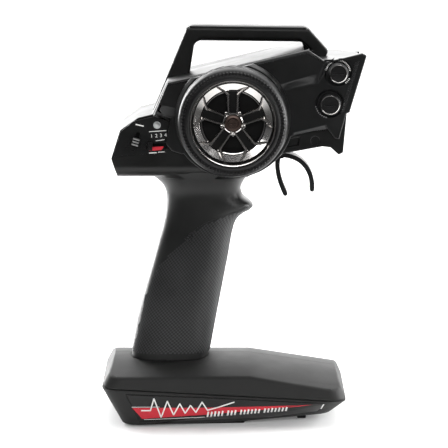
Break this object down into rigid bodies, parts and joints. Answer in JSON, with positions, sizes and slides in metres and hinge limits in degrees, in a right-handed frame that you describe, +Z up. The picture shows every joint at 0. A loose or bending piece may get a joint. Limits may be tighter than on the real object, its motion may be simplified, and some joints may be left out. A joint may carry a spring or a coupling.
{
  "type": "radio transmitter controller",
  "caption": "Pistol-grip radio transmitter with a side steering wheel, finger trigger, carry handle and weighted battery base.",
  "frame": {"origin": "on the surface that the base stands on, in the plane where the two body shells meet, within the outline of the rubber strip and almost under the steering wheel's axis", "axes": "+Z up, +X towards the nose and trigger, -Y towards the steering wheel"},
  "size_m": [0.1478, 0.101, 0.2232],
  "materials": {
    "body_plastic": "satin black moulded ABS with a fine spark texture",
    "base_plastic": "matt black moulded ABS with a coarser spark texture",
    "cover_plastic": "satin black moulded ABS, slightly smoother than the shells",
    "grip_rubber": "soft dark grey rubber with fine raised dots",
    "foot_rubber": "matt black rubber",
    "tyre_rubber": "soft black foam rubber tyre with fine tread",
    "dark_chrome": "black chrome plating on moulded spokes",
    "cap_metal": "smoked brown chrome cap",
    "screw_steel": "zinc plated steel",
    "knob_plastic": "matt black knurled plastic",
    "panel_plastic": "smooth black panel with printed marks",
    "label_print": "printed label, black with a red band",
    "lens": "milky lamp lens",
    "spring_steel": "drawn spring wire",
    "gear_plastic": "natural acetal",
    "pot_body": "blue moulded potentiometer case",
    "circuit_board": "green solder mask",
    "module_can": "tinned shield can",
    "brass": "plain turned brass",
    "battery_wrap": "plain dark battery wrap",
    "contact_plate": "nickel plated spring steel",
    "lead_red": "red PVC insulation",
    "lead_black": "black PVC insulation"
  },
  "bodies": {
    "case": {"right_body_shell": "body_plastic", "left_body_shell": "body_plastic", "right_head_cover": "cover_plastic", "left_head_cover": "cover_plastic", "carry_handle": "body_plastic", "nose_cap": "cover_plastic", "control_panel": "panel_plastic", "grip_rubber_right": "grip_rubber", "grip_rubber_left": "grip_rubber", "base_top_right": "base_plastic", "base_top_left": "base_plastic", "base_bottom_tray": "base_plastic", "rubber_feet": "foot_rubber", "label_plate_right": "label_print", "label_plate_left": "label_print", "case_screws": "screw_steel", "base_screws": "screw_steel", "handle_screws": "screw_steel", "wheel_bush": "brass", "wheel_dish": "cover_plastic", "steering_pot_body": "pot_body", "steering_spring": "spring_steel", "trigger_bracket": "body_plastic", "throttle_pot_body": "pot_body", "trigger_spring": "spring_steel", "steering_trim_pot": "pot_body", "throttle_trim_pot": "pot_body", "power_switch_body": "knob_plastic", "rate_selector_body": "knob_plastic", "power_led": "lens", "main_circuit_board": "circuit_board", "radio_module": "module_can", "internal_antenna": "brass", "battery_cells": "battery_wrap", "battery_contacts": "contact_plate", "battery_lead_red": "lead_red", "battery_lead_black": "lead_black"},
    "steering_wheel": {"wheel_tyre": "tyre_rubber", "wheel_rim": "dark_chrome", "wheel_hub_cap": "cap_metal", "wheel_screw": "cap_metal", "wheel_shaft": "screw_steel", "steering_centring_arm": "gear_plastic"},
    "trigger_lever": {"trigger": "knob_plastic", "trigger_pin": "screw_steel", "trigger_sector_gear": "gear_plastic"},
    "throttle_gear": {"throttle_pinion": "gear_plastic"},
    "steering_trim": {"steering_trim_knob": "knob_plastic"},
    "throttle_trim": {"throttle_trim_knob": "knob_plastic"},
    "power_switch": {"power_switch_slider": "knob_plastic"},
    "rate_selector": {"rate_selector_slider": "knob_plastic"},
    "door": {"battery_door": "base_plastic"}
  },
  "joints": [
    {"name": "steering_turn", "type": "hinge", "parent": "case", "child": "steering_wheel", "pos_m": [-0.0018, -0.05, 0.1742], "axis": [0, -1, 0], "range_deg": [-35, 35], "stiffness_Nm_per_rad": 0.12, "deforming": ["steering_spring"]},
    {"name": "trigger_pull", "type": "hinge", "parent": "case", "child": "trigger_lever", "pos_m": [0.025, 0, 0.161], "axis": [0, 1, 0], "range_deg": [-12, 20], "stiffness_Nm_per_rad": 0.15, "deforming": ["trigger_spring"]},
    {"name": "throttle_gear_spin", "type": "hinge", "parent": "case", "child": "throttle_gear", "pos_m": [0.0324, 0, 0.18134], "axis": [0, 1, 0], "range_deg": [-60, 40]},
    {"name": "steering_trim_turn", "type": "hinge", "parent": "case", "child": "steering_trim", "pos_m": [0.0563, -0.033, 0.1991], "axis": [0, -1, 0], "range_deg": [-135, 135]},
    {"name": "throttle_trim_turn", "type": "hinge", "parent": "case", "child": "throttle_trim", "pos_m": [0.0519, -0.033, 0.1818], "axis": [0, -1, 0], "range_deg": [-135, 135]},
    {"name": "power_switch_slide", "type": "slide", "parent": "case", "child": "power_switch", "axis": [0.2924, 0, 0.9563], "range_m": [0, 0.003]},
    {"name": "rate_select_slide", "type": "slide", "parent": "case", "child": "rate_selector", "axis": [1, 0, 0], "range_m": [0, 0.0075]},
    {"name": "battery_door_slide", "type": "slide", "parent": "case", "child": "door", "axis": [-1, 0, 0], "range_m": [0, 0.03]}
  ],
  "couplings": [
    {"joint": "throttle_gear_spin", "follows": "trigger_pull", "ratio": -2.8571}
  ]
}
